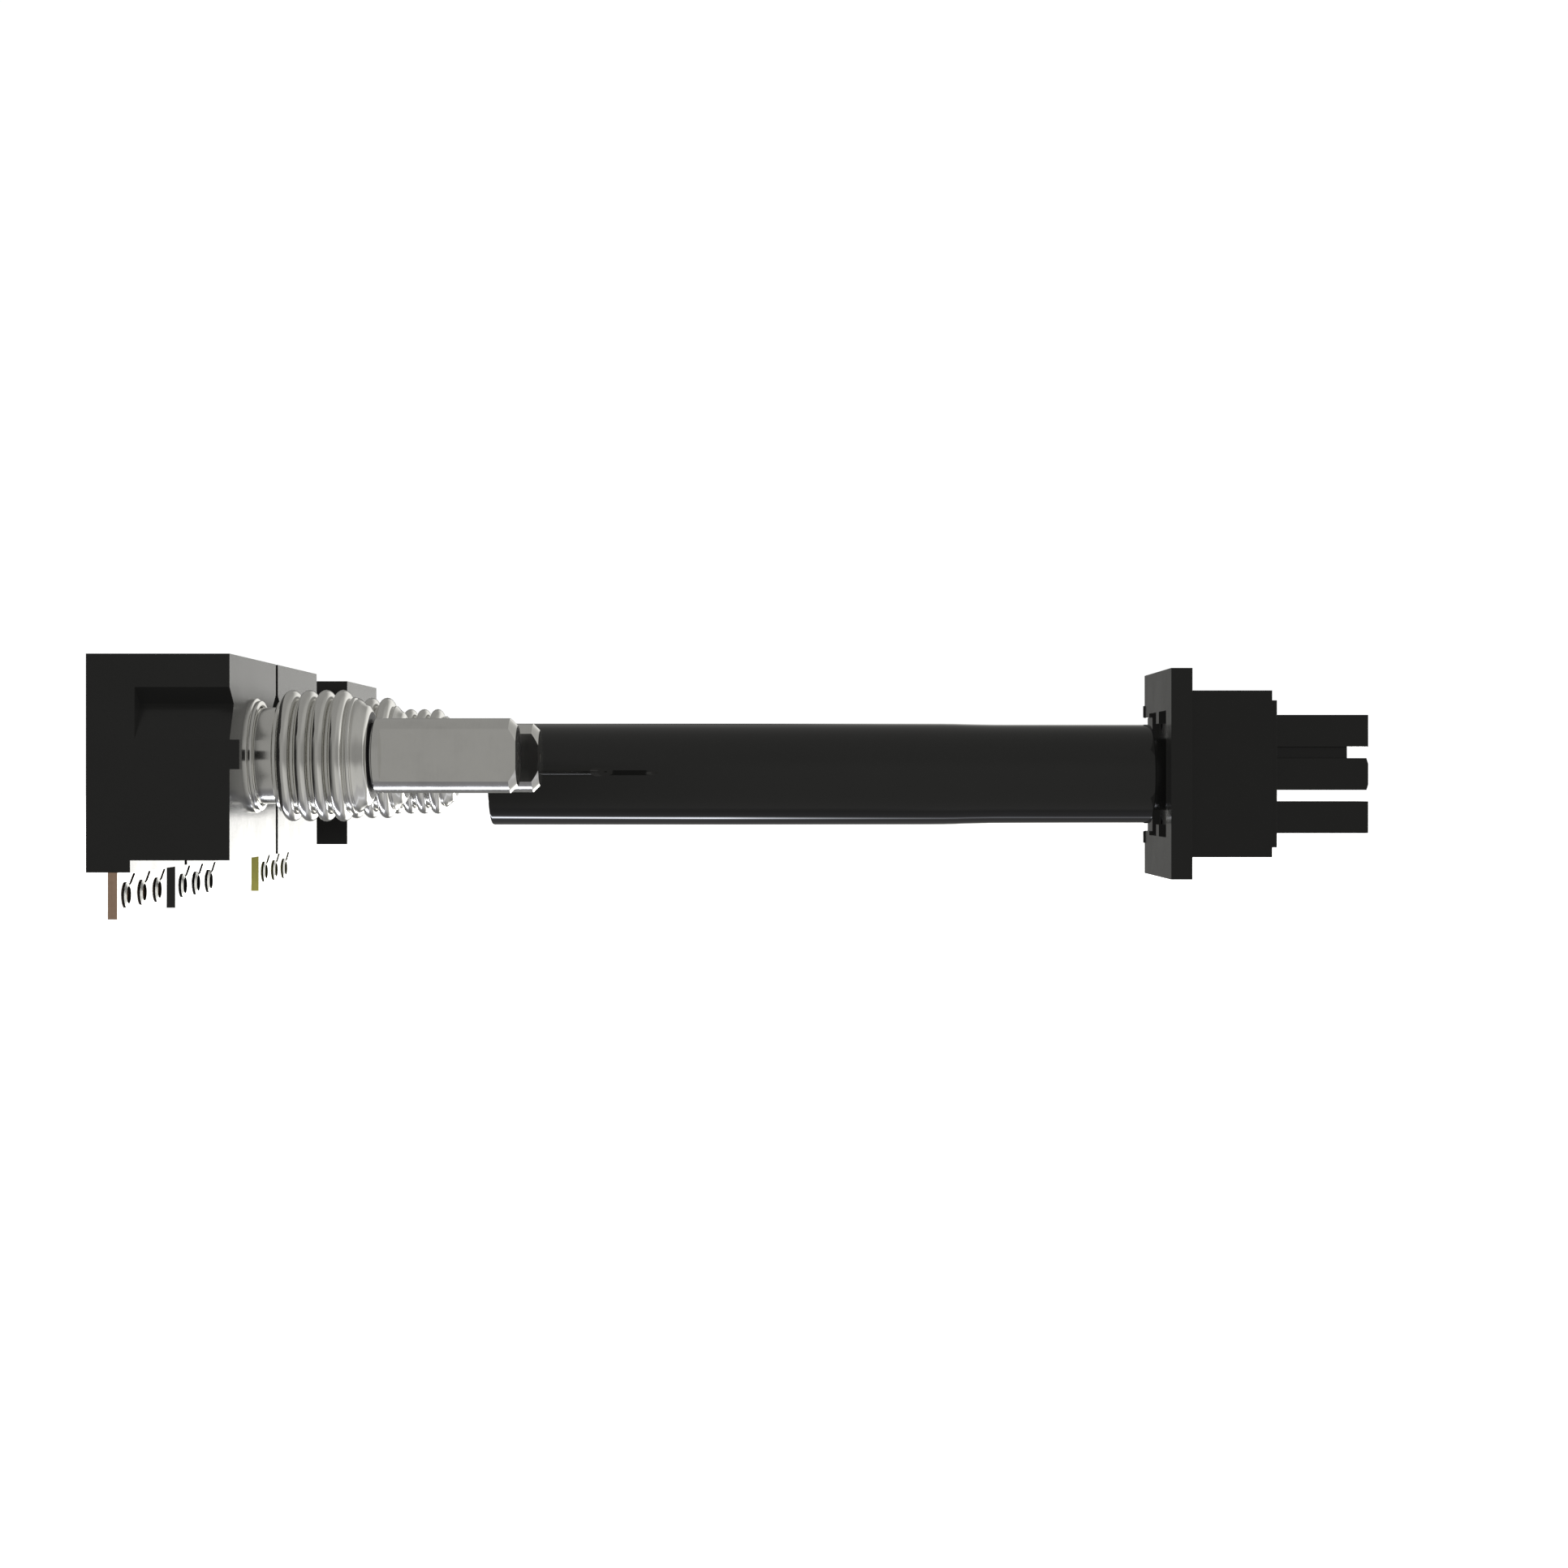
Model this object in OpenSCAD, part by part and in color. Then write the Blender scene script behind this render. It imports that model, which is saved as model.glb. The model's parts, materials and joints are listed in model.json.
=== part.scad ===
// Ball screw assembly: three flatted screw spindles in square bearing
// housings, and a ball-screw thrust tube with a square flange and a
// three-finger drive coupling, all carried by one back plate.
// Millimetres. +X runs from the back plate to the coupling, +Z is up.
// Origin: middle of the footprint, at the level the strips stand on.

/* [Overall] */
// Half of the overall length along X
half_len = 161.8; // [161.8:0.1:162.4]
// Half of the overall depth along Y
half_depth = 105.8; // [105.8:0.1:106.2]
// Thickness of the back plate
plate_t = 5.0; // [4:0.5:6]

/* [Bearing housing] */
// Width of a housing along the screw axis
house_w = 32.5; // [31:0.5:33]
// Depth of a housing across the row
house_d = 53.4; // [52:0.2:54]
// Height of the housing top above its screw axis
house_up = 22.8; // [21.5:0.1:23]
// Height of the screw axis above the housing's underside
house_dn = 24.0; // [23:0.1:24]
// Height of the foot below the underside
foot_h = 2.75; // [2.5:0.05:2.8]
// Width of the foot
foot_w = 10.0; // [9.5:0.5:10.5]
// Depth of the clamping groove in the two sides
groove_d = 4.6; // [3:0.1:5]
// Outside diameter of the housing bearings
brg_od = 35.0; // [35:0.5:36]
// Bore of the housing bearings
brg_id = 17.0; // [16.5:0.5:17]

/* [Screw spindle] */
// Height of the screw axes above the ground
axis_z = 37.35; // [37.3:0.05:37.4]
// Crest diameter of the screw thread
crest_d = 31.1; // [30:0.1:31.5]
// Root diameter of the screw thread
root_d = 26.6; // [26:0.1:27]
// Lead of the screw thread
lead = 4.0; // [3.9:0.05:4.1]
// Diameter of the drive shaft
shaft_d = 17.67; // [17:0.01:18]
// Distance from the shaft axis to its flat
flat_r = 6.35; // [6.2:0.05:7]
// Diameter of the neck behind the thread
neck_d = 22.75; // [22:0.05:22.75]
// Chamfer at the shaft's end
shaft_ch = 1.7; // [1:0.1:2]

/* [Contact strip] */
// Thickness of a strip
strip_t = 2.15; // [1.5:0.05:2.2]
// Diameter of an eyelet's hole
eye_d = 4.0; // [3:0.1:4.2]
// Distance between eyelets
eye_pitch = 14.7; // [14:0.1:14.9]

/* [Thrust tube] */
// Height of the thrust tube's axis
tube_z = 33.4; // [33:0.1:34]
// Position of the thrust tube's axis across the row
tube_y = 29.3; // [29:0.1:29.6]
// Outside diameter of the tube's left part
tube_d1 = 28.1; // [27.8:0.1:28.4]
// Outside diameter of the tube's right part
tube_d2 = 27.55; // [27.4:0.05:27.8]
// Inside diameter of the tube
tube_id = 24.0; // [23.5:0.1:24]
// Crest diameter of the centre screw
cscrew_d = 10.0; // [10:0.1:10.2]

/* [Flange and coupling] */
// Thickness of the square flange
flange_t = 5.7; // [5.5:0.1:6]
// Flange size across the row
flange_y = 51.8; // [51:0.1:52.5]
// Flange height
flange_z = 56.8; // [56:0.1:57.5]
// Hub size across the row
hub_y = 40.7; // [39:0.1:42]
// Hub height
hub_z = 45.1; // [44.5:0.1:45.5]
// Finger thickness, up and down
finger_z = 8.75; // [8.3:0.05:8.9]
// Finger width across the row
finger_y = 15.6; // [14:0.1:16]

/* [Hidden] */
$fn = 64;
e = 0.01;

x_back = -half_len;                 // rear face of the back plate
x_hr = x_back + plate_t;            // rear face of the housings
x_hf = x_hr + house_w;              // right face of the housings
y_a = -half_depth + house_d / 2;    // screw axes across the row
y_b = y_a + 56.0;
y_c = half_depth - house_d / 2;
tube_x0 = -79.9;                    // left end of the thrust tube
tube_x1 = 102.7;                    // right end of the thrust tube
fl_x = 104.9;                       // left face of the square flange
hub_x0 = fl_x + flange_t;
hub_x1 = 133.0;
cover_x1 = 134.7;
fing_x1 = half_len;

// Turns a shape that stands along +Z so that it lies along +X
module lie() { rotate([0, 90, 0]) children(); }
module at(x, y, z) { translate([x, y, z]) children(); }
// A disc or rod along X, from x0 to x1
module rod(x0, x1, d) { at(x0, 0, 0) lie() cylinder(h = x1 - x0, d = d); }
module block(x0, x1, sy, sz) { at(x0, -sy / 2, -sz / 2) cube([x1 - x0, sy, sz]); }
// A ring along X, from x0 to x1
module ring(x0, x1, od, id) {
  difference() { rod(x0, x1, od); rod(x0 - 1, x1 + 1, id); }
}

// ---- back plate -------------------------------------------------------
plate_y0 = -86.8;
plate_z0 = 11.2; plate_z1 = 60.0;
// Fixing screws of a housing: across the row and up, from the screw axis
house_fix = [[-3, 20], [-3, -20], [21.5, 17.5], [21.5, -17.5]];
sup_fix = [[-12, 10], [12, 10], [-12, -10], [12, -10]];
mount_y = 39.5; mount_z = 39.2; mount_zc = 35.5; mount_d = 5.3;

module each_fixing() {
  for (y = [y_a, y_b, y_c]) for (p = house_fix) at(0, y + p[0], axis_z + p[1]) children();
  for (p = sup_fix) at(0, tube_y + p[0], tube_z + p[1]) children();
}
module back_plate() {
  color([0.16, 0.16, 0.16]) difference() {
    at(x_back, plate_y0, plate_z0)
      cube([plate_t, half_depth - plate_y0, plate_z1 - plate_z0]);
    each_fixing() { rod(x_back - 1, x_back + 2.8, 6.6); rod(x_back, x_hr + 1, 3.4); }
    for (sy = [-1, 1]) for (sz = [-1, 1])
      at(0, tube_y + sy * mount_y / 2, mount_zc + sz * mount_z / 2)
        rod(x_back - 1, x_hr + 1, mount_d);
  }
}
module plate_screws() {
  color([0.55, 0.55, 0.56]) each_fixing() difference() {
    union() { rod(x_back + 0.3, x_back + 2.8, 6.0); rod(x_back + 2.8, x_hr + 7, 3.0); }
    at(x_back - 0.5, 0, 0) lie() cylinder(h = 2.3, d = 2.9, $fn = 6);
  }
}

// ---- bearing housing, in the axes of its own screw ----------------------
module housing(y) {
  color([0.10, 0.10, 0.10]) at(0, y, axis_z) difference() {
    union() {
      at(x_hr, -house_d / 2, -house_dn) cube([house_w, house_d, house_dn + house_up]);
      at(x_hr, -house_d / 2, -house_dn - foot_h) cube([foot_w, house_d, foot_h + 1]);
      // locating lug on the right face
      at(x_hf - 1, -house_d / 2, -3.35) cube([3.2, 2.6, 6.7]);
    }
    // clamping grooves on both sides, running out of the right face
    for (s = [0, 1]) mirror([0, s, 0])
      at(x_hr + 11.0, -house_d / 2 - e, 0) rotate([0, 90, 0])
        linear_extrude(height = house_w + 5)
          polygon([[-15.25, -1], [-15.25, 0], [-11.6, groove_d], [-3.4, 0], [-3.4, -1]]);
    // bearing bore, from the rear, and the hole for the seal ring
    rod(x_hr - 1, x_hf - 5.0, brg_od + 0.02);
    rod(x_hr, x_hf + 5, 27.1);
    // tapped holes for the fixing screws
    for (p = house_fix) at(0, p[0], p[1]) rod(x_hr - 1, x_hr + 9, 3.0);
    // blind slot that holds the strip
    at(x_hr + 4.95, -house_d / 2 + 1.5, -house_dn - foot_h - 1) cube([strip_t, strip_l - 1.5, 5.0]);
  }
}
module seal_ring(y) {
  color([0.75, 0.75, 0.74]) at(x_hf, y, axis_z) lie() rotate_extrude()
    polygon([[11.55, -4.98], [13.5, -4.98], [13.55, -4.9], [13.55, 0.75], [13.48, 1.0],
             [13.25, 1.18], [12.95, 1.2], [12.95, 1.8], [12.88, 2.05], [12.62, 2.2],
             [11.8, 2.2], [11.55, 1.95]]);
}
// A pair of ball bearings on the spindle, in one node per kind of ring
brg_x = [x_hf - 15.0, x_hf - 27.5];
brg_w = 10;
ball_r = 2.38; race_r = 2.46; pitch_r = 13.0;
module race(r0, r1) {
  lie() rotate_extrude() difference() {
    translate([r0, 0]) square([r1 - r0, brg_w]);
    translate([pitch_r, brg_w / 2]) circle(r = race_r, $fn = 48);
  }
}
module bearing_outer(y) {
  color([0.80, 0.80, 0.81]) {
    for (x = brg_x) at(x, y, axis_z) race(14.7, brg_od / 2);
    at(0, y, axis_z) ring(x_hf - 17.5, x_hf - 15.0, brg_od, 31);
  }
}
module bearing_inner(y) {
  color([0.80, 0.80, 0.81]) {
    for (x = brg_x) at(x, y, axis_z) race(brg_id / 2, 11.3);
    at(0, y, axis_z) ring(x_hf - 17.5, x_hf - 15.0, 21, brg_id);
  }
}
module ball_cage(y) {
  color([0.72, 0.58, 0.30]) for (x = brg_x) at(x + brg_w / 2, y, axis_z) {
    ring(-1.4, 1.4, 2 * pitch_r + 1.2, 2 * pitch_r - 1.2);
    for (i = [0:9]) rotate([i * 36, 0, 0]) at(0, 0, pitch_r) sphere(r = ball_r, $fn = 32);
  }
}

// ---- screw spindle -------------------------------------------------------
// Positions along the spindle, from the housing's right face
th0 = 6.55;                      // shoulder where the thread begins
cr0 = 9.35;                      // first crest
n_cr = 4;
flat_x0 = 30.7;                  // where the flat begins, at the collar
phase_b = 1.8; phase_c = 1.15;   // thread starts of the second and third screws
rr = root_d / 2; cr = crest_d / 2; ca = 1.78;
// Outline of one rounded crest, centred on xc
function crest(xc, r0, h, a, n = 10) =
  [for (i = [0:n]) let (t = 180 * i / n) [r0 + h * sin(t), xc - a * cos(t)]];
// Half section of a spindle whose thread starts ph further along
function nose(ph) = let (sh = max(25.0, cr0 + ph + (n_cr - 1) * lead + ca + 0.45)) concat(
  [[0, -29.9], [brg_id / 2 - 0.6, -29.9], [brg_id / 2 - 0.3, -29.6], [brg_id / 2 - 0.3, -27.5],
   [brg_id / 2, -27.5], [brg_id / 2, -5.0], [neck_d / 2, -5.0], [neck_d / 2, th0 - 0.25],
   [neck_d / 2 + 0.25, th0], [rr - 0.35, th0], [rr, th0 + 0.35]],
  [for (k = [0:n_cr - 1]) each crest(cr0 + ph + k * lead, rr, cr - rr, ca)],
  ph > 0.5 ? [] : concat([[rr, sh - 1.7]], crest(sh - 1.0, rr, 0.5, 0.6, 6)),
  [[rr - 0.05, sh - 0.25], [rr + 0.15, sh], [rr + 0.1, sh + 0.3],
   [12.05, 26.9], [11.9, 27.25], [11.6, 27.6], [10.6, 28.05], [10.25, 28.15],
   [7.7, 28.15], [7.7, 28.95],
   [shaft_d / 2 - 0.1, 28.95], [shaft_d / 2 + 0.02, 29.1],
   [shaft_d / 2 + 0.02, flat_x0 + e], [shaft_d / 2, flat_x0 + e]],
  [[shaft_d / 2, 62.5 - shaft_ch], [shaft_d / 2 - shaft_ch, 62.5], [0, 62.5]]);
module spindle(y, ph) {
  color([0.78, 0.78, 0.77]) at(x_hf, y, axis_z) difference() {
    lie() rotate_extrude($fn = 96) polygon(nose(ph));
    at(flat_x0, -shaft_d, -shaft_d) cube([40, shaft_d - flat_r, 2 * shaft_d]);
    // centre hole in the shaft's end
    rod(60.0, 63, 2.5);
  }
}
module lock_nut(y) {
  color([0.35, 0.35, 0.36]) at(x_hf, y, axis_z) difference() {
    rod(-30.4, -27.5, 25);
    rod(-31, -27, brg_id - 0.6);
    for (i = [0:3]) rotate([45 + 90 * i, 0, 0]) at(-31, -1.5, 11) cube([5, 3, 4]);
  }
}

// ---- contact strip and its eyelets --------------------------------------
eye_z = 5.25;                     // height of the eyelet centres
eye_y0 = 7.7;                     // first eyelet, from the strip's front end
strip_l = 2 * eye_y0 + 2 * eye_pitch;
strip_x0 = x_hr + 5.0 - 0.05;
module each_eye(y) {
  for (i = [0:2]) at(strip_x0, y - house_d / 2 + eye_y0 + i * eye_pitch, eye_z) children();
}
module strip(y, c) {
  color(c) difference() {
    at(strip_x0, y - house_d / 2, 0) cube([strip_t, strip_l, 14.55]);
    at(strip_x0 - 1, y - house_d / 2 - 1, axis_z - house_dn - foot_h) cube([strip_t + 2, 2.5, 6]);
    each_eye(y) rod(-1, strip_t + 1, eye_d);
  }
}
module eyelets(y) {
  color([0.85, 0.85, 0.84]) each_eye(y) {
    // raised ring round the hole
    at(strip_t, 0, 0) lie() rotate_extrude($fn = 48)
      polygon([[eye_d / 2, 0], [2.97, 0], [2.97, 0.34], [eye_d / 2, 0.72]]);
    // track from the ring, up towards the foot
    at(strip_t, 2.1, 1.75) rotate([-74, 0, 0]) at(0, -0.15, 0) cube([0.28, 0.3, 2.35]);
    at(strip_t, 4.3, 2.35) rotate([-57.4, 0, 0]) at(0, -0.15, -0.05) cube([0.28, 0.3, 4.3]);
  }
}

// ---- centre screw and its support ----------------------------------------
cs_x1 = x_hr + 22.8;              // right face of the support
module centre_support() {
  color([0.12, 0.12, 0.12]) at(0, tube_y, tube_z) difference() {
    block(x_hr, cs_x1, 30, 26);
    rod(x_hr - 1, cs_x1 - 3.5, 22.02);
    rod(x_hr, cs_x1 + 1, 13);
    for (p = sup_fix) at(0, p[0], p[1]) rod(x_hr - 1, x_hr + 9, 3.0);
  }
}
cb_x = [cs_x1 - 10.5, cs_x1 - 17.5];
module crace(r0, r1) {
  lie() rotate_extrude() difference() {
    translate([r0, 0]) square([r1 - r0, 7]);
    translate([7.5, 3.5]) circle(r = 2.05, $fn = 48);
  }
}
module centre_bearing_outer() {
  color([0.80, 0.80, 0.81]) for (x = cb_x) at(x, tube_y, tube_z) crace(9.0, 11);
}
module centre_bearing_inner() {
  color([0.80, 0.80, 0.81]) for (x = cb_x) at(x, tube_y, tube_z) crace(4, 6.1);
}
module centre_ball_cage() {
  color([0.72, 0.58, 0.30]) for (x = cb_x) at(x + 3.5, tube_y, tube_z) {
    ring(-1.1, 1.1, 16, 14);
    for (i = [0:6]) rotate([i * 360 / 7, 0, 0]) at(0, 0, 7.5) sphere(r = 1.98, $fn = 32);
  }
}
module centre_lock_nut() {
  color([0.35, 0.35, 0.36]) at(0, tube_y, tube_z)
    difference() { rod(cs_x1 - 21.5, cs_x1 - 17.5, 13); rod(cs_x1 - 22, cs_x1 - 17, 7.5); }
}
cs_end = 30.0;                    // free end of the centre screw
module centre_screw() {
  color([0.78, 0.78, 0.77]) at(0, tube_y, tube_z) {
    rod(cs_x1 - 21.9, cs_x1 - 17.5, 7.5);
    rod(cs_x1 - 17.5 - e, cs_x1 - 3.5, 8);
    rod(cs_x1 - 3.5 - e, cs_x1 + 4, cscrew_d);
    rod(cs_x1 + 4 - e, cs_end - 2, cscrew_d - 1.6);
    at(cs_end - 2 - e, 0, 0) lie() cylinder(h = 2, r1 = cscrew_d / 2 - 0.8, r2 = cscrew_d / 2 - 2);
  }
}

// ---- thrust tube -----------------------------------------------------------
module drive_tube() {
  color([0.13, 0.13, 0.12]) at(0, tube_y, tube_z) lie() rotate_extrude($fn = 96)
    polygon([[tube_id / 2, tube_x0 + 0.3], [tube_id / 2 + 0.3, tube_x0], [tube_d1 / 2 - 0.55, tube_x0],
             [tube_d1 / 2 - 0.16, tube_x0 + 0.16], [tube_d1 / 2, tube_x0 + 0.55],
             [tube_d1 / 2, 45], [tube_d1 / 2 - 0.03, 48], [tube_d2 / 2 + 0.06, 56], [tube_d2 / 2, 62],
             [tube_d2 / 2, tube_x1 - 0.3], [tube_d2 / 2 - 0.3, tube_x1], [tube_id / 2, tube_x1]]);
}
nut_x0 = tube_x0 + 3.0; nut_x1 = tube_x0 + 31;
nb_n = 3; nb_r = 1.0; nb_p = cscrew_d / 2 + 0.3;
module ball_nut() {
  color([0.60, 0.60, 0.61]) at(0, tube_y, tube_z) lie() rotate_extrude() difference() {
    translate([cscrew_d / 2 + 0.25, nut_x0]) square([tube_id / 2 - cscrew_d / 2 - 0.25, nut_x1 - nut_x0]);
    translate([0, nut_x0 + 5]) square([nb_p + nb_r + 0.08, 4 * nb_n + 3]);
    translate([tube_id / 2 - 1, nut_x0 + 21]) square([2, 2]);
  }
}
module nut_balls() {
  color([0.85, 0.85, 0.86]) at(0, tube_y, tube_z)
    for (i = [0:3 * 12 - 1]) at(nut_x0 + 6.5 + 4 * i / 12, 0, 0)
      rotate([-30 * i, 0, 0]) at(0, 0, nb_p) sphere(r = nb_r, $fn = 24);
}
module nut_wiper() {
  color([0.08, 0.08, 0.08]) at(0, tube_y, tube_z) lie() rotate_extrude()
    polygon([[cscrew_d / 2 + 0.2, nut_x0 - 1.6], [6.2, nut_x0 - 2.6], [tube_id / 2, nut_x0 - 2.6],
             [tube_id / 2, nut_x0], [cscrew_d / 2 + 0.6, nut_x0], [cscrew_d / 2 + 0.2, nut_x0 - 0.4]]);
}

// ---- flange, hub and fingers --------------------------------------------------
fing_off = 11.9;                  // outer fingers above and below the axis
pocket_y = 32.5; pocket_z = 34.5; pocket_d = 3.0; rib_y = 5.3;
fl_fix = [[-12.9, 13.9], [12.9, 13.9], [-12.9, -13.9], [12.9, -13.9]];
module flange_plate() {
  color([0.14, 0.14, 0.13]) at(0, tube_y, tube_z) difference() {
    union() {
      block(fl_x, hub_x0, flange_y, flange_z);
      // raised lips at the far edge, above and below the relief
      for (s = [-1, 1]) at(fl_x - 0.42, flange_y / 2 - 0.5, s * 18 - 1.7) cube([1, 0.5, 3.4]);
    }
    difference() {
      block(fl_x - 1, fl_x + pocket_d, pocket_y, pocket_z);
      for (s = [-1, 1]) at(fl_x - 2, -rib_y / 2, s * 16 - 2) cube([8, rib_y, 4]);
    }
    // relief in the far edge
    at(fl_x - 1, pocket_y / 2 - 1, -16.15) cube([1.9, 20, 32.3]);
    rod(fl_x, hub_x0 + 1, 20.02);
    for (p = fl_fix) at(0, p[0], p[1]) { rod(fl_x, hub_x0 + 1, 3.4); rod(fl_x, fl_x + pocket_d + 1.8, 5.6); }
  }
}
module flange_screws() {
  color([0.30, 0.30, 0.30]) for (p = fl_fix) at(0, tube_y + p[0], tube_z + p[1]) difference() {
    union() { rod(fl_x + pocket_d + 0.1, fl_x + pocket_d + 1.8, 5.2); rod(fl_x + pocket_d + 1, hub_x0 + 8, 3.0); }
    at(fl_x + pocket_d - 1.1, 0, 0) lie() cylinder(h = 2.2, d = 2.9, $fn = 6);
  }
}
module coupling_hub() {
  color([0.11, 0.11, 0.11]) at(0, tube_y, tube_z) difference() {
    union() {
      block(hub_x0, hub_x1, hub_y, hub_z);
      rod(hub_x0 - 22, hub_x0 + 1, 20);
      rod(hub_x0 - 22, fl_x - 2.2, tube_id);
    }
    // bore that clears the centre screw, and three sockets for the fingers
    rod(hub_x0 - 23, hub_x0 + 4, 14);
    for (z = [fing_off, 0, -fing_off]) at(hub_x1 - 12, -finger_y / 2, z - finger_z / 2) cube([14, finger_y, finger_z]);
    at(hub_x1 - 12, -3, 4) cube([14, 6, 4.4]);
    for (p = fl_fix) at(0, p[0], p[1]) rod(hub_x0 - 1, hub_x0 + 9, 3.0);
    for (s = [-1, 1]) for (t = [-1, 1]) at(0, s * 14.5, t * 16) rod(hub_x1 - 8, hub_x1 + 1, 2.5);
  }
}
module hub_cover() {
  color([0.11, 0.11, 0.11]) at(0, tube_y, tube_z) difference() {
    block(hub_x1, cover_x1, 36.6, 39.9);
    for (z = [fing_off, 0, -fing_off]) at(hub_x1 - 1, -finger_y / 2, z - finger_z / 2) cube([4, finger_y, finger_z]);
    at(hub_x1 - 1, -3, 4) cube([4, 6, 4.4]);
    for (s = [-1, 1]) for (t = [-1, 1]) at(0, s * 14.5, t * 16) { rod(hub_x1 - 1, cover_x1 + 1, 2.9); rod(cover_x1 - 1.25, cover_x1 + 1, 4.8); }
  }
}
module cover_screws() {
  color([0.30, 0.30, 0.30]) for (s = [-1, 1]) for (t = [-1, 1])
    at(0, tube_y + s * 14.5, tube_z + t * 16) difference() {
      union() { rod(cover_x1 - 1.25, cover_x1 - 0.1, 4.4); rod(hub_x1 - 7, cover_x1 - 1.2, 2.5); }
      at(cover_x1 - 0.9, 0, 0) lie() cylinder(h = 2, d = 2.2, $fn = 6);
    }
}
// One finger, with its free end chamfered when ch is above 0
module finger(z, ch) {
  at(0, finger_y / 2, z) rotate([90, 0, 0]) linear_extrude(height = finger_y)
    polygon([[hub_x1 - 11.9, -finger_z / 2], [fing_x1 - ch, -finger_z / 2], [fing_x1, -finger_z / 2 + 3.2 * ch],
             [fing_x1, finger_z / 2 - 3.2 * ch], [fing_x1 - ch, finger_z / 2], [hub_x1 - 11.9, finger_z / 2]]);
}
module finger_fork() {
  color([0.11, 0.11, 0.11]) at(0, tube_y, tube_z) {
    finger(fing_off, 0);
    finger(0, 0.5);
    at(hub_x1 - 11.9, -3, finger_z / 2 - 0.2) cube([157.0 - hub_x1 + 11.9, 6, fing_off - finger_z + 0.4]);
  }
}
module finger_single() {
  color([0.11, 0.11, 0.11]) at(0, tube_y, tube_z) finger(-fing_off, 0);
}

back_plate();
plate_screws();
housing(y_a);  // housing_a
housing(y_b);  // housing_b
housing(y_c);  // housing_c
seal_ring(y_a);  // seal_ring_a
seal_ring(y_b);  // seal_ring_b
seal_ring(y_c);  // seal_ring_c
bearing_outer(y_a);  // bearing_outer_a
bearing_outer(y_b);  // bearing_outer_b
bearing_outer(y_c);  // bearing_outer_c
ball_cage(y_a);  // ball_cage_a
ball_cage(y_b);  // ball_cage_b
ball_cage(y_c);  // ball_cage_c
bearing_inner(y_a);  // bearing_inner_a
bearing_inner(y_b);  // bearing_inner_b
bearing_inner(y_c);  // bearing_inner_c
spindle(y_a, 0);  // spindle_a
spindle(y_b, phase_b);  // spindle_b
spindle(y_c, phase_c);  // spindle_c
lock_nut(y_a);  // lock_nut_a
lock_nut(y_b);  // lock_nut_b
lock_nut(y_c);  // lock_nut_c
strip(y_a, [0.51, 0.41, 0.33]);  // strip_a
strip(y_b, [0.12, 0.12, 0.11]);  // strip_b
strip(y_c, [0.58, 0.56, 0.27]);  // strip_c
eyelets(y_a);  // eyelets_a
eyelets(y_b);  // eyelets_b
eyelets(y_c);  // eyelets_c
centre_support();
centre_bearing_outer();
centre_ball_cage();
centre_bearing_inner();
centre_lock_nut();
centre_screw();
drive_tube();
ball_nut();
nut_balls();
nut_wiper();
flange_plate();
flange_screws();
coupling_hub();
hub_cover();
cover_screws();
finger_fork();
finger_single();
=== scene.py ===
import json
import math

import bmesh
import bpy
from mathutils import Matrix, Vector


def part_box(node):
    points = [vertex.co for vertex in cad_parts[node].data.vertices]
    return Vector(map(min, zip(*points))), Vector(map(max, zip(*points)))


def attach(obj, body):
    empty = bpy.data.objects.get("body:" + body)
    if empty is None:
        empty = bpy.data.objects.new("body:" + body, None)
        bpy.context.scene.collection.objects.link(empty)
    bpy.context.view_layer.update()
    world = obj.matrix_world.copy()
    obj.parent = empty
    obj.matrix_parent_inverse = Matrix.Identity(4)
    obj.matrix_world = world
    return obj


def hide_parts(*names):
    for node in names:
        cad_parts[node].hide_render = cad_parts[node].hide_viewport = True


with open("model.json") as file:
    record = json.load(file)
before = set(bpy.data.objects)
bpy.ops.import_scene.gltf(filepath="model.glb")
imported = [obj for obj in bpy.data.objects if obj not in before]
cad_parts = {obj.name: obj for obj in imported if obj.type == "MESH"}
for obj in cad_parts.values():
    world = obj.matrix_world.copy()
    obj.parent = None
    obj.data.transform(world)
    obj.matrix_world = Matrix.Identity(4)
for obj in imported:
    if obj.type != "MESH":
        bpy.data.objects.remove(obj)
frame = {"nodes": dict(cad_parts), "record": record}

nodes = frame["nodes"]
scene = bpy.context.scene
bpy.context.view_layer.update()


# ---------------------------------------------------------------- camera
def make_camera():
    cam_data = bpy.data.cameras.new("camera")
    cam_data.sensor_width = 36.0
    cam_data.lens = 59.63
    cam_data.clip_start = 0.01
    cam_data.clip_end = 50.0
    cam = bpy.data.objects.new("camera", cam_data)
    scene.collection.objects.link(cam)
    cam.location = (0.00105, -0.6930, 0.03065)
    cam.rotation_euler = (math.radians(90), 0, 0)
    scene.camera = cam


make_camera()
scene.view_settings.view_transform = "Standard"
scene.view_settings.look = "None"


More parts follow.
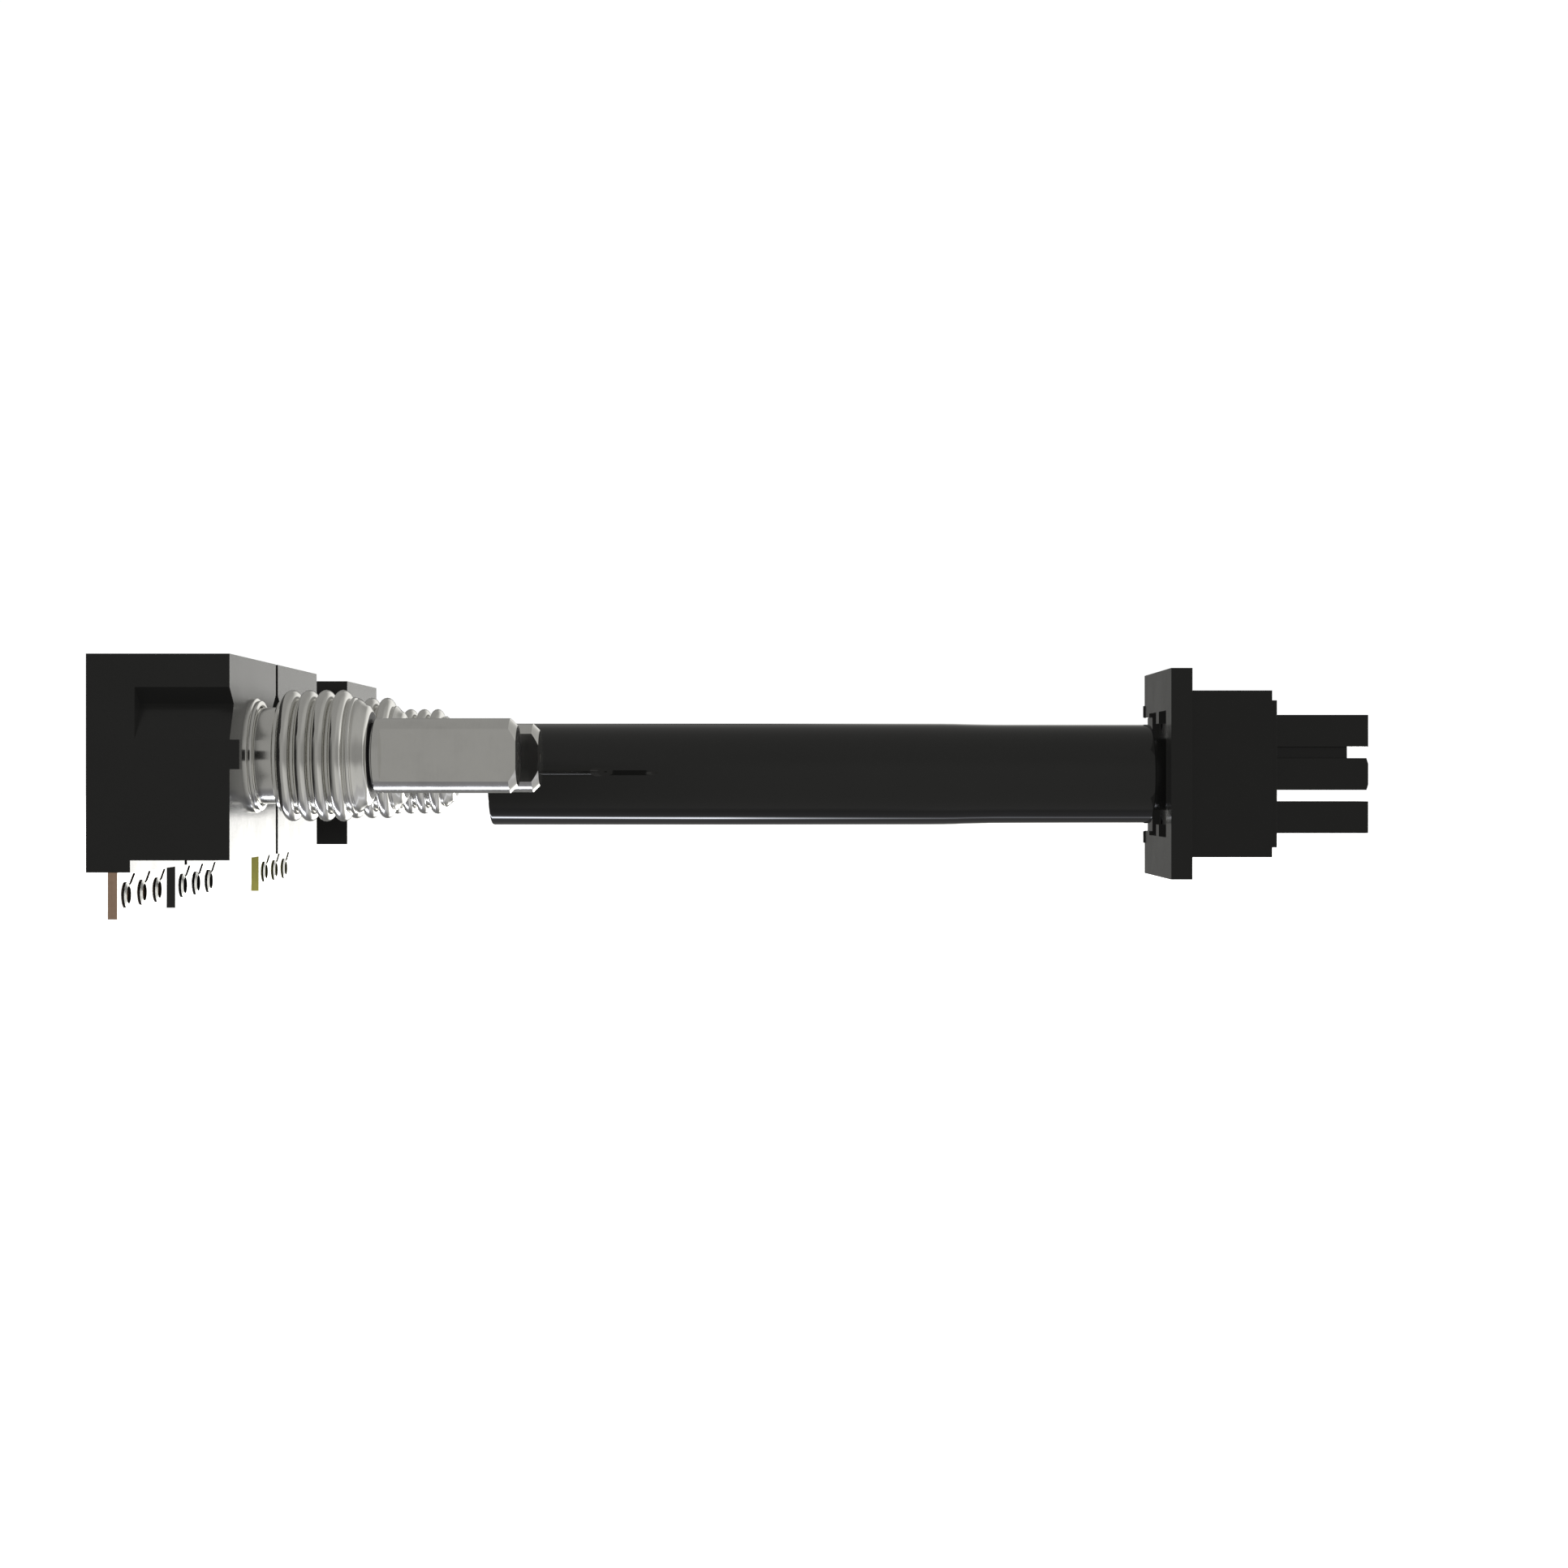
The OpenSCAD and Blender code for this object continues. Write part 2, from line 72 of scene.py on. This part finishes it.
# ------------------------------------------------- node graphs by formula
class V:
    """A value in a node graph; arithmetic on it adds Math nodes."""

    def __init__(self, tree, sock):
        self.t, self.s = tree, sock

    def _op(self, op, *others, clamp=False):
        n = self.t.nodes.new("ShaderNodeMath")
        n.operation = op
        n.use_clamp = clamp
        for i, o in enumerate((self,) + others):
            if isinstance(o, V):
                self.t.links.new(o.s, n.inputs[i])
            else:
                n.inputs[i].default_value = float(o)
        return V(self.t, n.outputs[0])

    def __add__(self, o): return self._op("ADD", o)
    def __radd__(self, o): return self._op("ADD", o)
    def __sub__(self, o): return self._op("SUBTRACT", o)
    def __rsub__(self, o): return (self * -1.0) + o
    def __mul__(self, o): return self._op("MULTIPLY", o)
    def __rmul__(self, o): return self._op("MULTIPLY", o)
    def __truediv__(self, o): return self._op("DIVIDE", o)
    def abs(self): return self._op("ABSOLUTE")
    def clamp(self): return self._op("ADD", 0.0, clamp=True)
    def pow(self, e): return self._op("POWER", e)
    def exp(self): return self._op("EXPONENT")
    def sqrt(self): return self._op("SQRT")
    def atan2(self, o): return self._op("ARCTAN2", o)
    def gt(self, o): return self._op("GREATER_THAN", o)

    def step(self, lo, hi):
        """0 below lo, 1 above hi, smooth between."""
        n = self.t.nodes.new("ShaderNodeMapRange")
        n.interpolation_type = "SMOOTHSTEP"
        self.t.links.new(self.s, n.inputs["Value"])
        if lo < hi:
            n.inputs["From Min"].default_value, n.inputs["From Max"].default_value = lo, hi
            n.inputs["To Min"].default_value, n.inputs["To Max"].default_value = 0.0, 1.0
        else:
            n.inputs["From Min"].default_value, n.inputs["From Max"].default_value = hi, lo
            n.inputs["To Min"].default_value, n.inputs["To Max"].default_value = 1.0, 0.0
        return V(self.t, n.outputs[0])

    def bell(self, centre, width):
        d = (self - centre) / width
        return (d * d * -1.0).exp()


def rgb(tree, r, g, b):
    n = tree.nodes.new("ShaderNodeCombineColor")
    for i, c in enumerate((r, g, b)):
        if isinstance(c, V):
            tree.links.new(c.s, n.inputs[i])
        else:
            n.inputs[i].default_value = c
    return n.outputs[0]


# ------------------------------------------------------------------ world
def make_world():
    world = bpy.data.worlds.new("studio")
    scene.world = world
    world.use_nodes = True
    t = world.node_tree
    t.nodes.clear()
    out = t.nodes.new("ShaderNodeOutputWorld")
    coord = t.nodes.new("ShaderNodeTexCoord")
    sep = t.nodes.new("ShaderNodeSeparateXYZ")
    t.links.new(coord.outputs["Generated"], sep.inputs[0])
    x, y, z = (V(t, sep.outputs[i]) for i in range(3))

    # the studio's walls: even in front, darker at the left, lighter at the right
    front = y.step(0.30, -0.15)
    walls = 0.335 - x.step(-0.10, -0.70) * 0.21 - x.step(0.35, 0.9) * 0.06
    back = 0.10 + x.step(-0.05, 0.09) * BACK_RIGHT + x.step(-0.04, -0.12) * 0.13
    base = front * walls + (1.0 - front) * back
    up = z.step(0.18, 0.6)
    ceiling = 0.30 + x.step(0.15, 0.6) * 0.10
    base = base * (1.0 - up) + up * ceiling
    down = z.step(-0.10, -0.40) * y.step(-0.15, 0.10)
    base = base * (1.0 - down) + down * 0.17
    # bright ground, low at the back right and below at the right
    glow = z.step(0.004, -0.020) * x.step(0.05, 0.13) * x.step(0.60, 0.42) * y.step(0.55, 0.85) * z.step(-0.5, -0.2)
    right = z.step(-0.12, -0.42) * x.step(0.12, 0.42)
    # long soft light below and behind, brightest towards the left
    angle = z.atan2(y)
    along = ((x + 0.083) / -0.065).exp()
    n = t.nodes.new("ShaderNodeMath")
    n.operation = "MINIMUM"
    t.links.new(along.s, n.inputs[0])
    n.inputs[1].default_value = 1.6
    along = V(t, n.outputs[0]) * 0.94 + 0.06
    edge = x.abs().step(0.9, 0.6)
    low = (angle.bell(math.radians(-58.4), math.radians(3.0)) * 7.0 + angle.bell(math.radians(-58.4), math.radians(9.0)) * 0.15) * along * edge
    haze = angle.bell(math.radians(-66), math.radians(26)) * 0.05
    v = base + glow * 4.3 + right * 0.25
    col = rgb(t, v + low * 0.95 + haze * 0.85, v * 0.992 + low * 0.98 + haze * 0.85,
              v * 0.955 + low * 1.06 + haze * 1.30)
    bg = t.nodes.new("ShaderNodeBackground")
    t.links.new(col, bg.inputs["Color"])
    bg.inputs["Strength"].default_value = 1.0
    white = t.nodes.new("ShaderNodeBackground")
    white.inputs["Color"].default_value = (1, 1, 1, 1)
    white.inputs["Strength"].default_value = 1.02
    mix = t.nodes.new("ShaderNodeMixShader")
    path = t.nodes.new("ShaderNodeLightPath")
    t.links.new(path.outputs["Is Camera Ray"], mix.inputs[0])
    t.links.new(bg.outputs[0], mix.inputs[1])
    t.links.new(white.outputs[0], mix.inputs[2])
    t.links.new(mix.outputs[0], out.inputs["Surface"])


BACK_RIGHT = 0.86
make_world()


def area(name, loc, target, size, energy, color=(1, 1, 1), glossy=False):
    d = bpy.data.lights.new(name, "AREA")
    d.shape = "RECTANGLE"
    d.size, d.size_y = size
    d.energy = energy
    d.color = color
    o = bpy.data.objects.new(name, d)
    scene.collection.objects.link(o)
    o.location = loc
    o.rotation_euler = (Vector(target) - Vector(loc)).to_track_quat("-Z", "Y").to_euler()
    o.visible_glossy = glossy
    return o


area("fill_right", (1.3, -0.1, 0.35), (-0.15, 0.0, 0.03), (1.2, 0.8), 22.0)
area("soft_top", (0.0, -0.2, 1.6), (0.0, 0.0, 0.0), (2.0, 1.6), 12.0)
area("soft_front", (-0.3, -1.8, 0.9), (0.0, 0.0, 0.03), (1.6, 1.2), 17.0)


# ------------------------------------------------------------------ floor
def sheet_mesh(name, pts):
    me = bpy.data.meshes.new(name)
    me.from_pydata(pts, [], [(0, 1, 2, 3)])
    o = bpy.data.objects.new(name, me)
    scene.collection.objects.link(o)
    return o


def make_floor():
    o = sheet_mesh("floor", [(-6, -6, -0.0003), (6, -6, -0.0003), (6, 6, -0.0003), (-6, 6, -0.0003)])
    m = bpy.data.materials.new("floor_white")
    m.use_nodes = True
    b = m.node_tree.nodes["Principled BSDF"]
    b.inputs["Base Color"].default_value = (0.80, 0.80, 0.80, 1)
    b.inputs["Roughness"].default_value = 0.9
    b.inputs["Specular IOR Level"].default_value = 0.0
    b.inputs["Emission Color"].default_value = (1, 1, 1, 1)
    b.inputs["Emission Strength"].default_value = 0.90
    o.data.materials.append(m)
    o.visible_glossy = False
    o.visible_diffuse = False
    o.visible_shadow = False
    o.visible_transmission = False


def make_flag():
    """A small black studio flag between the first two shafts, seen only in reflections."""
    y = -0.060
    o = sheet_mesh("black_flag", [(-0.0745, y, 0.029), (-0.0600, y, 0.029), (-0.0600, y, 0.046), (-0.0745, y, 0.046)])
    m = bpy.data.materials.new("flag_black")
    m.use_nodes = True
    b = m.node_tree.nodes["Principled BSDF"]
    b.inputs["Base Color"].default_value = (0.012, 0.012, 0.012, 1)
    b.inputs["Roughness"].default_value = 1.0
    b.inputs["Specular IOR Level"].default_value = 0.0
    o.data.materials.append(m)
    o.visible_camera = False
    o.visible_diffuse = False
    o.visible_shadow = False
    o.visible_transmission = False


make_floor()
make_flag()


# -------------------------------------------------------------- materials
def new_mat(name, metallic=0.0, ior=None, coat=None, spec=None, glow=None):
    m = bpy.data.materials.new(name)
    m.use_nodes = True
    t = m.node_tree
    b = t.nodes["Principled BSDF"]
    b.inputs["Metallic"].default_value = metallic
    if ior:
        b.inputs["IOR"].default_value = ior
    if spec is not None:
        b.inputs["Specular IOR Level"].default_value = spec
    if coat:
        b.inputs["Coat Weight"].default_value, b.inputs["Coat Roughness"].default_value = coat
    if glow:
        b.inputs["Emission Color"].default_value = (1, 1, 0.96, 1)
        b.inputs["Emission Strength"].default_value = glow
    return m, t, b


def coords(t, scale=(1, 1, 1)):
    c = t.nodes.new("ShaderNodeTexCoord")
    mp = t.nodes.new("ShaderNodeMapping")
    mp.inputs["Scale"].default_value = scale
    t.links.new(c.outputs["Object"], mp.inputs["Vector"])
    return mp.outputs[0]


def axes_of(t, which):
    c = t.nodes.new("ShaderNodeTexCoord")
    sep = t.nodes.new("ShaderNodeSeparateXYZ")
    t.links.new(c.outputs[which], sep.inputs[0])
    return [V(t, sep.outputs[i]) for i in range(3)]


def noise(t, vec, scale, detail=3.0, rough=0.55, distort=0.0):
    n = t.nodes.new("ShaderNodeTexNoise")
    n.inputs["Scale"].default_value = scale
    n.inputs["Detail"].default_value = detail
    n.inputs["Roughness"].default_value = rough
    n.inputs["Distortion"].default_value = distort
    t.links.new(vec, n.inputs["Vector"])
    return V(t, n.outputs["Fac"])


def ramp_color(t, fac, stops):
    r = t.nodes.new("ShaderNodeValToRGB")
    el = r.color_ramp.elements
    while len(el) < len(stops):
        el.new(0.5)
    for e, (p, c) in zip(el, stops):
        e.position = p
        e.color = (*c, 1)
    t.links.new(fac.s, r.inputs[0])
    return r.outputs[0]


def mix_color(t, fac, a, b):
    n = t.nodes.new("ShaderNodeMix")
    n.data_type = "RGBA"
    t.links.new(fac.s, n.inputs["Factor"])
    for key, c in (("A", a), ("B", b)):
        sock = [i for i in n.inputs if i.name == key and i.type == "RGBA"][0]
        if isinstance(c, tuple):
            sock.default_value = (*c, 1)
        else:
            t.links.new(c, sock)
    return [o for o in n.outputs if o.type == "RGBA"][0]


def link_rough(t, b, v, lo, hi, extra=None):
    n = t.nodes.new("ShaderNodeMapRange")
    n.inputs["To Min"].default_value, n.inputs["To Max"].default_value = lo, hi
    n.inputs["From Min"].default_value, n.inputs["From Max"].default_value = 0.3, 0.7
    t.links.new(v.s, n.inputs["Value"])
    out = V(t, n.outputs[0])
    if extra is not None:
        out = out + extra
    t.links.new(out.s, b.inputs["Roughness"])


def link_bump(t, b, v, strength, dist):
    n = t.nodes.new("ShaderNodeBump")
    n.inputs["Strength"].default_value = strength
    n.inputs["Distance"].default_value = dist
    t.links.new(v.s, n.inputs["Height"])
    t.links.new(n.outputs[0], b.inputs["Normal"])


def scale_c(c, k):
    return tuple(min(1.0, v * k) for v in c)


def black_finish(name, color, rough=(0.20, 0.30), grain=2400.0, bump=0.08, mottle=90.0,
                 coat=None, spec=None, spread=0.22, glow=None):
    """Painted or moulded black: fine grain, faint mottle in tone and gloss."""
    m, t, b = new_mat(name, coat=coat, spec=spec, glow=glow)
    v = coords(t)
    big = noise(t, v, mottle, 3, 0.6)
    fine = noise(t, v, grain, 2, 0.5)
    mix = big * 0.7 + fine * 0.3
    t.links.new(ramp_color(t, mix, [(0.30, scale_c(color, 1 - spread)), (0.52, color),
                                    (0.72, scale_c(color, 1 + spread))]), b.inputs["Base Color"])
    link_rough(t, b, big * 0.6 + fine * 0.4, *rough)
    link_bump(t, b, fine + big * 0.15, bump, 0.00003)
    return m


def turned_steel(name, color, rough=(0.16, 0.24), lines=5200.0, bump=0.05, axis="x", stain=0.08,
                 distance=0.00001, dark=None):
    """Turned or ground steel: fine lines round the axis, slight stains; dark gives a band left black along X."""
    m, t, b = new_mat(name, metallic=1.0)
    s = {"x": (1, 0.02, 0.02), "y": (0.02, 1, 0.02), "z": (0.02, 0.02, 1)}[axis]
    cut = noise(t, coords(t, s), lines, 3, 0.65)
    wide = noise(t, coords(t), 150.0, 4, 0.6)
    mix = cut * 0.3 + wide * 0.7
    col = ramp_color(t, mix, [(0.28, scale_c(color, 1 - stain)), (0.5, color),
                              (0.72, scale_c(color, 1 + 0.4 * stain))])
    extra = None
    if dark:
        x = axes_of(t, "Object")[0]
        band = x.step(dark[0], dark[0] + 0.00004) * x.step(dark[1], dark[1] - 0.00004)
        col = mix_color(t, band, col, (0.045, 0.045, 0.047))
        extra = band * 0.3
    t.links.new(col, b.inputs["Base Color"])
    link_rough(t, b, cut * 0.5 + wide * 0.5, *rough, extra=extra)
    link_bump(t, b, cut, bump, distance)
    return m


def laminate(name, edge):
    """Contact strip: layered glossy board, coloured all through."""
    m, t, b = new_mat(name, coat=(0.5, 0.05))
    layers = noise(t, coords(t, (1, 0.03, 0.03)), 2600.0, 2, 0.5)
    fleck = noise(t, coords(t), 900.0, 3, 0.6)
    mix = layers * 0.5 + fleck * 0.5
    tone = ramp_color(t, mix, [(0.3, scale_c(edge, 0.90)), (0.5, edge), (0.7, scale_c(edge, 1.08))])
    face = axes_of(t, "Normal")[0].step(0.5, 0.7)
    t.links.new(mix_color(t, face, tone, scale_c(edge, 0.12)), b.inputs["Base Color"])
    link_rough(t, b, fleck, 0.12, 0.20)
    link_bump(t, b, fleck, 0.03, 0.00002)
    return m


def tinned_pad(name):
    """Raised contact ring: bright tin on top, black moulded sides."""
    m, t, b = new_mat(name)
    x = axes_of(t, "Normal")[0]
    top = x.step(0.50, 0.62)
    v = noise(t, coords(t), 1500.0, 3, 0.6)
    tin = ramp_color(t, v, [(0.3, (0.80, 0.80, 0.78)), (0.7, (0.92, 0.92, 0.90))])
    t.links.new(mix_color(t, top, (0.006, 0.006, 0.006), tin), b.inputs["Base Color"])
    t.links.new(top.s, b.inputs["Metallic"])
    link_rough(t, b, v, 0.22, 0.34)
    link_bump(t, b, v, 0.05, 0.00002)
    return m


STEEL = (0.82, 0.815, 0.79)
MATS = {
    "black_housing": black_finish("black_housing", (0.0025, 0.0025, 0.0023), rough=(0.20, 0.27), spec=0.38, glow=0.0055),
    "screw_steel": turned_steel("screw_steel", STEEL, dark=(-0.09621, -0.09575), rough=(0.12, 0.20)),
    "bearing_steel": turned_steel("bearing_steel", (0.86, 0.86, 0.87), rough=(0.10, 0.18)),
    "cage_brass": turned_steel("cage_brass", (0.80, 0.60, 0.28), rough=(0.2, 0.3)),
    "fastener_steel": black_finish("fastener_steel", (0.02, 0.02, 0.02), rough=(0.28, 0.42)),
    "strip_brown": laminate("strip_brown", (0.248, 0.163, 0.11)),
    "strip_black": laminate("strip_black", (0.004, 0.004, 0.0036)),
    "strip_olive": laminate("strip_olive", (0.84, 0.79, 0.17)),
    "eyelet_tin": tinned_pad("eyelet_tin"),
    "black_tube": black_finish("black_tube", (0.003, 0.003, 0.0028), rough=(0.03, 0.05), grain=700.0,
                               bump=0.02, mottle=40.0, spec=0.50, glow=0.004),
    "flange_black": black_finish("flange_black", (0.0016, 0.0016, 0.0014), rough=(0.16, 0.24), spec=0.28, glow=0.0065),
    "coupling_black": black_finish("coupling_black", (0.0016, 0.0016, 0.0014), rough=(0.18, 0.26), spec=0.42, glow=0.002),
    "wiper_rubber": black_finish("wiper_rubber", (0.01, 0.01, 0.01), rough=(0.5, 0.7)),
    "nut_steel": turned_steel("nut_steel", (0.66, 0.66, 0.67), rough=(0.24, 0.34)),
}
slot_of = {s["node"]: s["material_slot"] for s in frame["record"]["subparts"]}


# ------------------------------------------------------- finish of CAD nodes
BOXY = ("back_plate", "housing_", "strip_", "flange_plate", "coupling_hub", "hub_cover", "finger_",
        "centre_support")
EDGE = {"strip_": 0.06, "finger_": 0.14, "hub_cover": 0.14}


def dress(obj, name):
    me = obj.data
    me.materials.clear()
    me.materials.append(MATS[slot_of[name]])
    for p in me.polygons:
        p.use_smooth = True
    w = obj.modifiers.new("weld", "WELD")
    w.merge_threshold = 0.000002
    if name.startswith(BOXY):
        b = obj.modifiers.new("edge", "BEVEL")
        b.width = 0.001 * next((v for k, v in EDGE.items() if name.startswith(k)), 0.18)
        b.segments = 2
        b.limit_method = "ANGLE"
        b.angle_limit = math.radians(35)
        b.use_clamp_overlap = True
        b.harden_normals = False
        n = obj.modifiers.new("normals", "WEIGHTED_NORMAL")
        n.weight = 80
        n.keep_sharp = False
    else:
        e = obj.modifiers.new("split", "EDGE_SPLIT")
        e.split_angle = math.radians(34)
        e.use_edge_sharp = False


for name, obj in nodes.items():
    dress(obj, name)


# ----------------------------------------------- centre screw, real threads
def helical_screw():
    """Right-hand rolled thread of 4 mm lead on the centre screw, one turn with every 4 mm of travel."""
    lo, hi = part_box("centre_screw")
    cy, cz = (lo.y + hi.y) / 2, (lo.z + hi.z) / 2
    lead, root, crest_r = 0.004, 0.0042, 0.0050
    x_start, x_end = lo.x, hi.x
    thread0, thread1 = lo.x + 0.0259, hi.x - 0.0020
    stem = [(x_start, 0.0034), (x_start + 0.0003, 0.00375), (x_start + 0.0044, 0.00375),
            (x_start + 0.0044, 0.0040), (x_start + 0.0184, 0.0040), (x_start + 0.0184, 0.0050),
            (thread0 - 0.0003, 0.0050), (thread0, 0.0047)]
    seg = 64
    rows = [[r] * seg for _, r in stem]
    xs = [x for x, _ in stem]
    n = 540
    for i in range(n + 1):
        x = thread0 + (thread1 - thread0) * i / n
        fade = min(1.0, (x - thread0) / 0.0012, (thread1 - x) / 0.0018 + 0.0)
        row = []
        for j in range(seg):
            f = ((x - thread0) / lead - j / seg) % 1.0
            d = abs(f - 0.5) * 2
            crown = 1.0 if d < 0.50 else max(0.0, 1 - ((d - 0.50) / 0.30)) if d < 0.80 else 0.0
            crown = crown * crown * (3 - 2 * crown)
            row.append(root + (crest_r - root) * crown * max(0.0, fade))
        rows.append(row)
        xs.append(x + 1e-6)
    for x, r in ((thread1 + 0.0001, 0.0042), (x_end, 0.0030)):
        xs.append(x)
        rows.append([r] * seg)
    bm = bmesh.new()
    grid = [[bm.verts.new((x, cy + r * math.cos(2 * math.pi * j / seg), cz + r * math.sin(2 * math.pi * j / seg)))
             for j, r in enumerate(row)] for x, row in zip(xs, rows)]
    for a, b in zip(grid, grid[1:]):
        for j in range(seg):
            k = (j + 1) % seg
            bm.faces.new((a[j], b[j], b[k], a[k]))
    bm.faces.new(grid[0])
    bm.faces.new(list(reversed(grid[-1])))
    bmesh.ops.recalc_face_normals(bm, faces=bm.faces)
    me = bpy.data.meshes.new("centre_screw_thread")
    bm.to_mesh(me)
    bm.free()
    for p in me.polygons:
        p.use_smooth = True
    o = bpy.data.objects.new("centre_screw_thread", me)
    scene.collection.objects.link(o)
    me.materials.append(MATS["screw_steel"])
    e = o.modifiers.new("split", "EDGE_SPLIT")
    e.split_angle = math.radians(50)
    e.use_edge_sharp = False
    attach(o, "drive_screw")
    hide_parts("centre_screw")


helical_screw()
